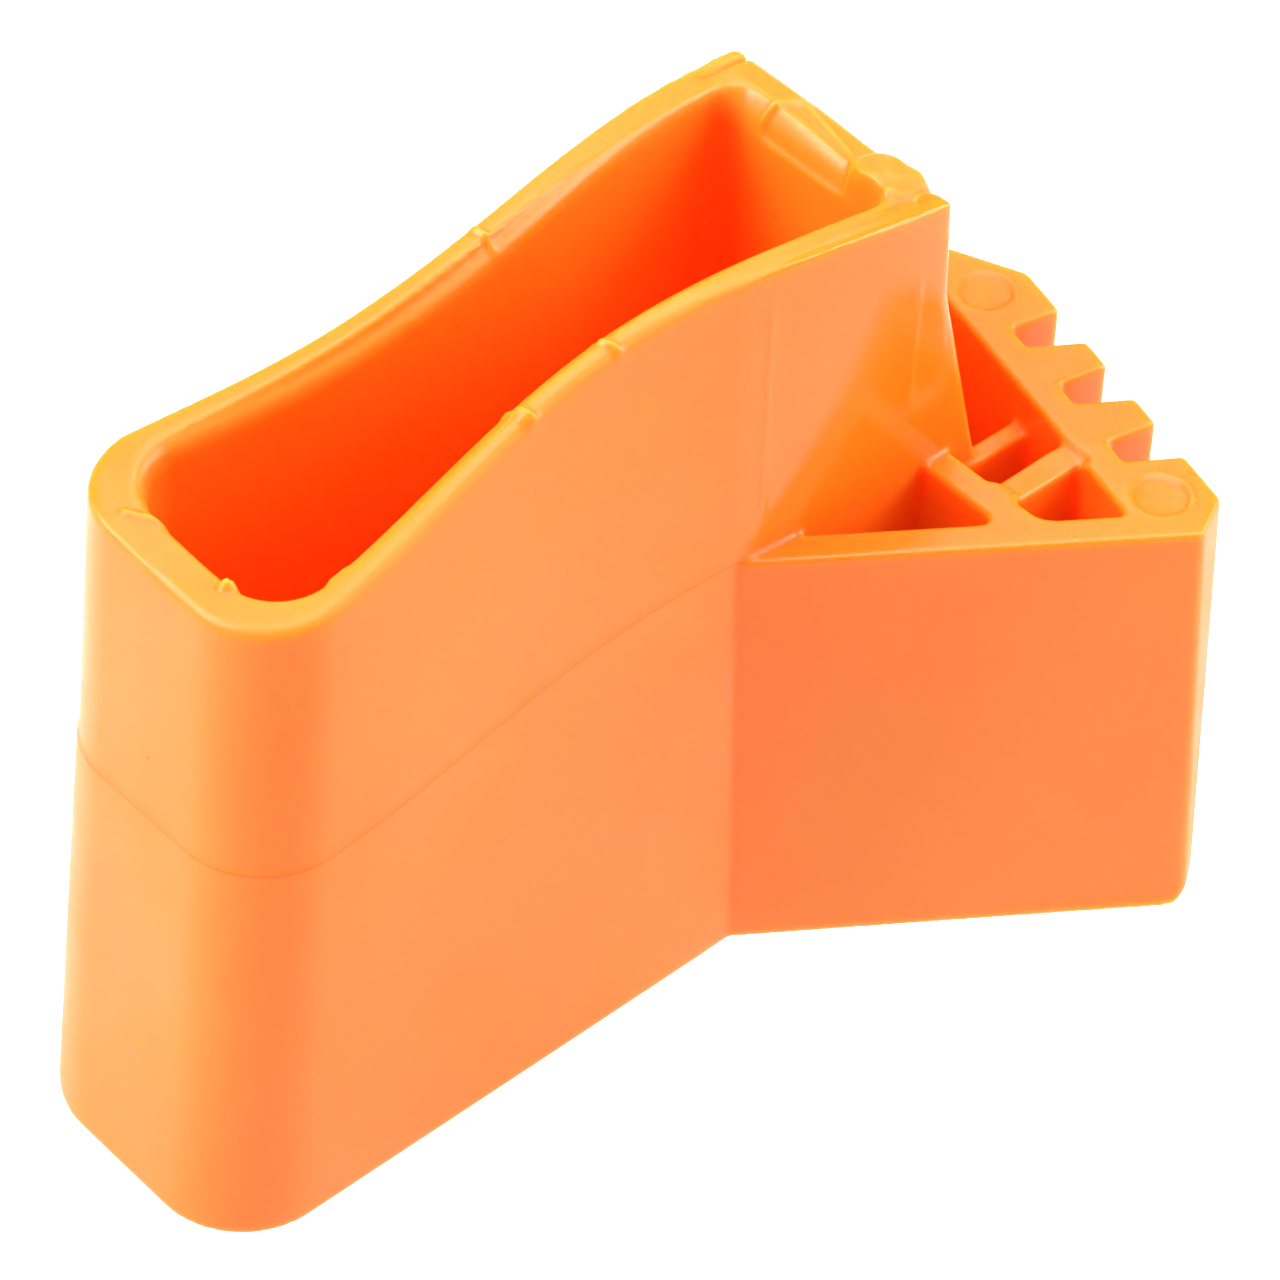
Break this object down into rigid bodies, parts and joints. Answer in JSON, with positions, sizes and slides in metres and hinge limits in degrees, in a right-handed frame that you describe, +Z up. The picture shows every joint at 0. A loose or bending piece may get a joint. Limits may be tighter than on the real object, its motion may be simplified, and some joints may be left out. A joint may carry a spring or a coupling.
{
  "type": "ladder stabiliser bar foot",
  "caption": "Plastic foot: a long rectangular sleeve for a bar's end, with a ribbed fan and a notched tread on one side.",
  "frame": {"origin": "on the flat base, under the middle of the sleeve", "axes": "+Z up along the sleeve towards its mouth; +X along the sleeve's long side towards the tread; the fan leans towards -Y"},
  "size_m": [0.152, 0.0758, 0.1086],
  "materials": {
    "orange_plastic": "semi-gloss"
  },
  "bodies": {
    "root": {"sleeve_round_end": "orange_plastic", "sleeve_near_wall": "orange_plastic", "sleeve_far_wall": "orange_plastic", "sleeve_tread_end": "orange_plastic", "sleeve_floor": "orange_plastic", "fan_near_wall": "orange_plastic", "fan_far_wall": "orange_plastic", "fan_floor": "orange_plastic", "rib_main": "orange_plastic", "rib_cross": "orange_plastic", "rib_low": "orange_plastic", "tread_bar": "orange_plastic", "tread_block_near": "orange_plastic", "tread_block_far": "orange_plastic", "tread_tooth_near": "orange_plastic", "tread_tooth_far": "orange_plastic"}
  },
  "joints": []
}
